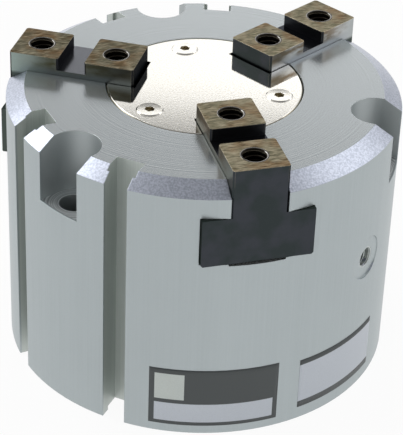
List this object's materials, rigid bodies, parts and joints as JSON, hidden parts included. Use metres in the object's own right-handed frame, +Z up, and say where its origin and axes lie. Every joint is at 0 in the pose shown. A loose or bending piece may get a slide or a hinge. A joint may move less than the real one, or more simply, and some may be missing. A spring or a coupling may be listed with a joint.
{
  "type": "pneumatic parallel gripper",
  "caption": "Round pneumatic gripper whose jaws slide together along radii in T-slots, driven by a wedge cam and a piston.",
  "frame": {"origin": "centre of the body's round mounting face", "axes": "+Z up to the jaws along the body's axis, -Y towards the front jaw, +X to the right seen from the front jaw"},
  "size_m": [0.086, 0.086, 0.066],
  "materials": {
    "anodised_body": "satin clear anodised, finely turned top",
    "anodised_cap": "satin clear anodised",
    "bright_steel": "bright, fine radial grain",
    "polished_screws": "polished",
    "jaw_steel": "hardened, dark oxide sides and ground tops",
    "spring_steel": "phosphated",
    "bronze": "machined",
    "rubber": "moulded nitrile",
    "wear_plastic": "filled plastic",
    "magnet": "bonded magnet",
    "hard_chrome": "ground and hard chromed",
    "zinc_steel": "zinc plated",
    "hardened_steel": "hardened and ground",
    "black_steel": "black oxide"
  },
  "bodies": {
    "housing": {"body": "anodised_body", "cover_plate": "bright_steel", "cover_screws": "polished_screws", "end_cap": "anodised_cap", "cap_oring": "rubber", "retaining_ring": "spring_steel", "rod_bush": "bronze", "rod_seal": "rubber", "upper_bumper": "rubber", "lower_bumper": "rubber"},
    "piston_unit": {"piston": "anodised_cap", "piston_seal": "rubber", "wear_ring": "wear_plastic", "magnet_ring": "magnet", "piston_rod": "hard_chrome", "rod_oring": "rubber", "piston_nut": "zinc_steel", "wedge_cam": "hardened_steel", "cam_screw": "black_steel"},
    "front_jaw": {"jaw_front": "jaw_steel"},
    "right_jaw": {"jaw_right": "jaw_steel"},
    "left_jaw": {"jaw_left": "jaw_steel"}
  },
  "joints": [
    {"name": "piston_slide", "type": "slide", "parent": "housing", "child": "piston_unit", "axis": [0, 0, 1], "range_m": [0, 0.008]},
    {"name": "front_jaw_slide", "type": "slide", "parent": "housing", "child": "front_jaw", "axis": [0, -1, 0], "range_m": [0, 0.008]},
    {"name": "right_jaw_slide", "type": "slide", "parent": "housing", "child": "right_jaw", "axis": [0.866, 0.5, 0], "range_m": [0, 0.008]},
    {"name": "left_jaw_slide", "type": "slide", "parent": "housing", "child": "left_jaw", "axis": [-0.866, 0.5, 0], "range_m": [0, 0.008]}
  ],
  "couplings": [
    {"joint": "front_jaw_slide", "follows": "piston_slide", "ratio": 1},
    {"joint": "right_jaw_slide", "follows": "piston_slide", "ratio": 1},
    {"joint": "left_jaw_slide", "follows": "piston_slide", "ratio": 1}
  ]
}
